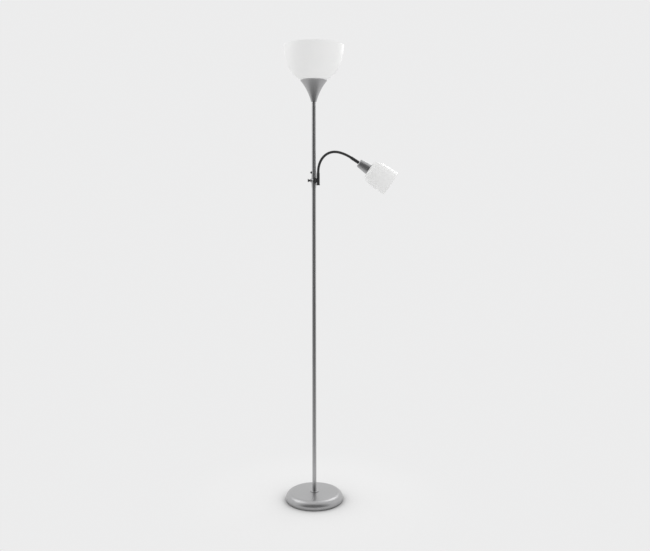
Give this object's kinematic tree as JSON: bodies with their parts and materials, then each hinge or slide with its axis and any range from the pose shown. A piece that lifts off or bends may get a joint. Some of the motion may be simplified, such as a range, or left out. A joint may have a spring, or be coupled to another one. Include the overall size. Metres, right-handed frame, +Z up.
{
  "type": "floor lamp",
  "caption": "Uplighter floor lamp with an open bowl shade on a slim pole and a small reading lamp on a flexible side arm.",
  "frame": {"origin": "on the pole's axis at the floor, the middle of the foot's underside", "axes": "+Z up along the pole, +X towards the reading lamp, +Y to the back, where the cord inlet is"},
  "size_m": [0.4365, 0.2309, 1.78],
  "materials": {
    "silver_paint": "satin",
    "satin_boss": "satin",
    "dark_metal": "semi-gloss",
    "black_plastic": "gloss",
    "floor_rubber": "matte",
    "cast_ballast": "rough",
    "zinc_steel": "satin",
    "switch_brass": "satin",
    "opal_shade": "satin",
    "lampholder_plastic": "satin",
    "bulb_cap_metal": "satin",
    "bulb_glass": "frosted",
    "lead_sheath": "matte"
  },
  "bodies": {
    "stand": {"base_pad": "floor_rubber", "base_weight": "cast_ballast", "base_cover": "silver_paint", "base_stud": "zinc_steel", "base_nut": "zinc_steel", "base_washer": "zinc_steel", "cable_gland": "black_plastic", "pole_collar": "silver_paint", "pole_foot_insert": "zinc_steel", "pole_lower_tube": "silver_paint", "pole_middle_tube": "silver_paint", "pole_upper_tube": "silver_paint", "pole_top_tube": "silver_paint", "pole_coupler_lower": "zinc_steel", "pole_coupler_upper": "zinc_steel", "pole_top_plug": "zinc_steel", "junction_sleeve": "silver_paint", "switch_boss": "satin_boss", "rotary_switch_body": "black_plastic", "switch_bushing": "switch_brass", "push_switch_body": "black_plastic", "button_bezel": "black_plastic", "arm_block": "dark_metal", "arm_hollow_screw": "zinc_steel", "arm_stub": "dark_metal", "stub_end_cap": "dark_metal", "neck_root_ball": "dark_metal", "uplight_cup": "silver_paint", "cup_nut": "zinc_steel", "cup_nipple": "zinc_steel", "uplight_lead": "lead_sheath", "uplight_holder": "lampholder_plastic", "bowl_shade": "opal_shade", "shade_ring": "lampholder_plastic", "uplight_bulb_cap": "bulb_cap_metal", "uplight_bulb_glass": "bulb_glass"},
    "neck_1": {"neck_link_1": "dark_metal"},
    "neck_2": {"neck_link_2": "dark_metal"},
    "neck_3": {"neck_link_3": "dark_metal"},
    "neck_4": {"neck_link_4": "dark_metal"},
    "neck_5": {"neck_link_5": "dark_metal"},
    "neck_6": {"neck_link_6": "dark_metal"},
    "neck_7": {"neck_link_7": "dark_metal"},
    "neck_8": {"neck_link_8": "dark_metal"},
    "head": {"head_ferrule": "dark_metal", "head_nipple": "zinc_steel", "head_lock_nut": "dark_metal", "reading_cap": "silver_paint", "reading_holder": "lampholder_plastic", "reading_shade": "opal_shade", "reading_shade_ring": "lampholder_plastic", "reading_bulb_cap": "bulb_cap_metal", "reading_bulb_glass": "bulb_glass"},
    "knob": {"rotary_knob": "black_plastic", "knob_spindle": "zinc_steel"},
    "button": {"push_button": "black_plastic"}
  },
  "joints": [
    {"name": "neck_bend", "type": "hinge", "parent": "stand", "child": "neck_1", "pos_m": [0.0167, 0, 1.3078], "axis": [0, 1, 0], "range_deg": [-14, 12]},
    {"name": "neck_side", "type": "hinge", "parent": "neck_1", "child": "neck_2", "pos_m": [0.01904, 0, 1.33004], "axis": [-0.9781, 0, 0.2079], "range_deg": [-12, 12]},
    {"name": "neck_bend_2", "type": "hinge", "parent": "neck_2", "child": "neck_3", "pos_m": [0.02667, 0, 1.35102], "axis": [0, 1, 0], "range_deg": [-14, 12]},
    {"name": "neck_side_2", "type": "hinge", "parent": "neck_3", "child": "neck_4", "pos_m": [0.04025, 0, 1.36871], "axis": [-0.682, 0, 0.7314], "range_deg": [-12, 12]},
    {"name": "neck_bend_3", "type": "hinge", "parent": "neck_4", "child": "neck_5", "pos_m": [0.05913, 0, 1.38051], "axis": [0, 1, 0], "range_deg": [-14, 12]},
    {"name": "neck_side_3", "type": "hinge", "parent": "neck_5", "child": "neck_6", "pos_m": [0.08107, 0, 1.38418], "axis": [0.0349, 0, 0.9994], "range_deg": [-12, 12]},
    {"name": "neck_bend_4", "type": "hinge", "parent": "neck_6", "child": "neck_7", "pos_m": [0.1031, 0, 1.38049], "axis": [0, 1, 0], "range_deg": [-14, 12]},
    {"name": "neck_side_4", "type": "hinge", "parent": "neck_7", "child": "neck_8", "pos_m": [0.124, 0, 1.37247], "axis": [0.4226, 0, 0.9063], "range_deg": [-12, 12]},
    {"name": "neck_bend_5", "type": "hinge", "parent": "neck_8", "child": "head", "pos_m": [0.14357, 0, 1.36162], "axis": [0, 1, 0], "range_deg": [-14, 12]},
    {"name": "rotary_switch_turn", "type": "hinge", "parent": "stand", "child": "knob", "pos_m": [0, 0, 1.2754], "axis": [1, 0, 0], "continuous": true},
    {"name": "push_button_press", "type": "slide", "parent": "stand", "child": "button", "axis": [1, 0, 0], "range_m": [0, 0.002], "stiffness_N_per_m": 300, "springref_m": -0.001}
  ]
}
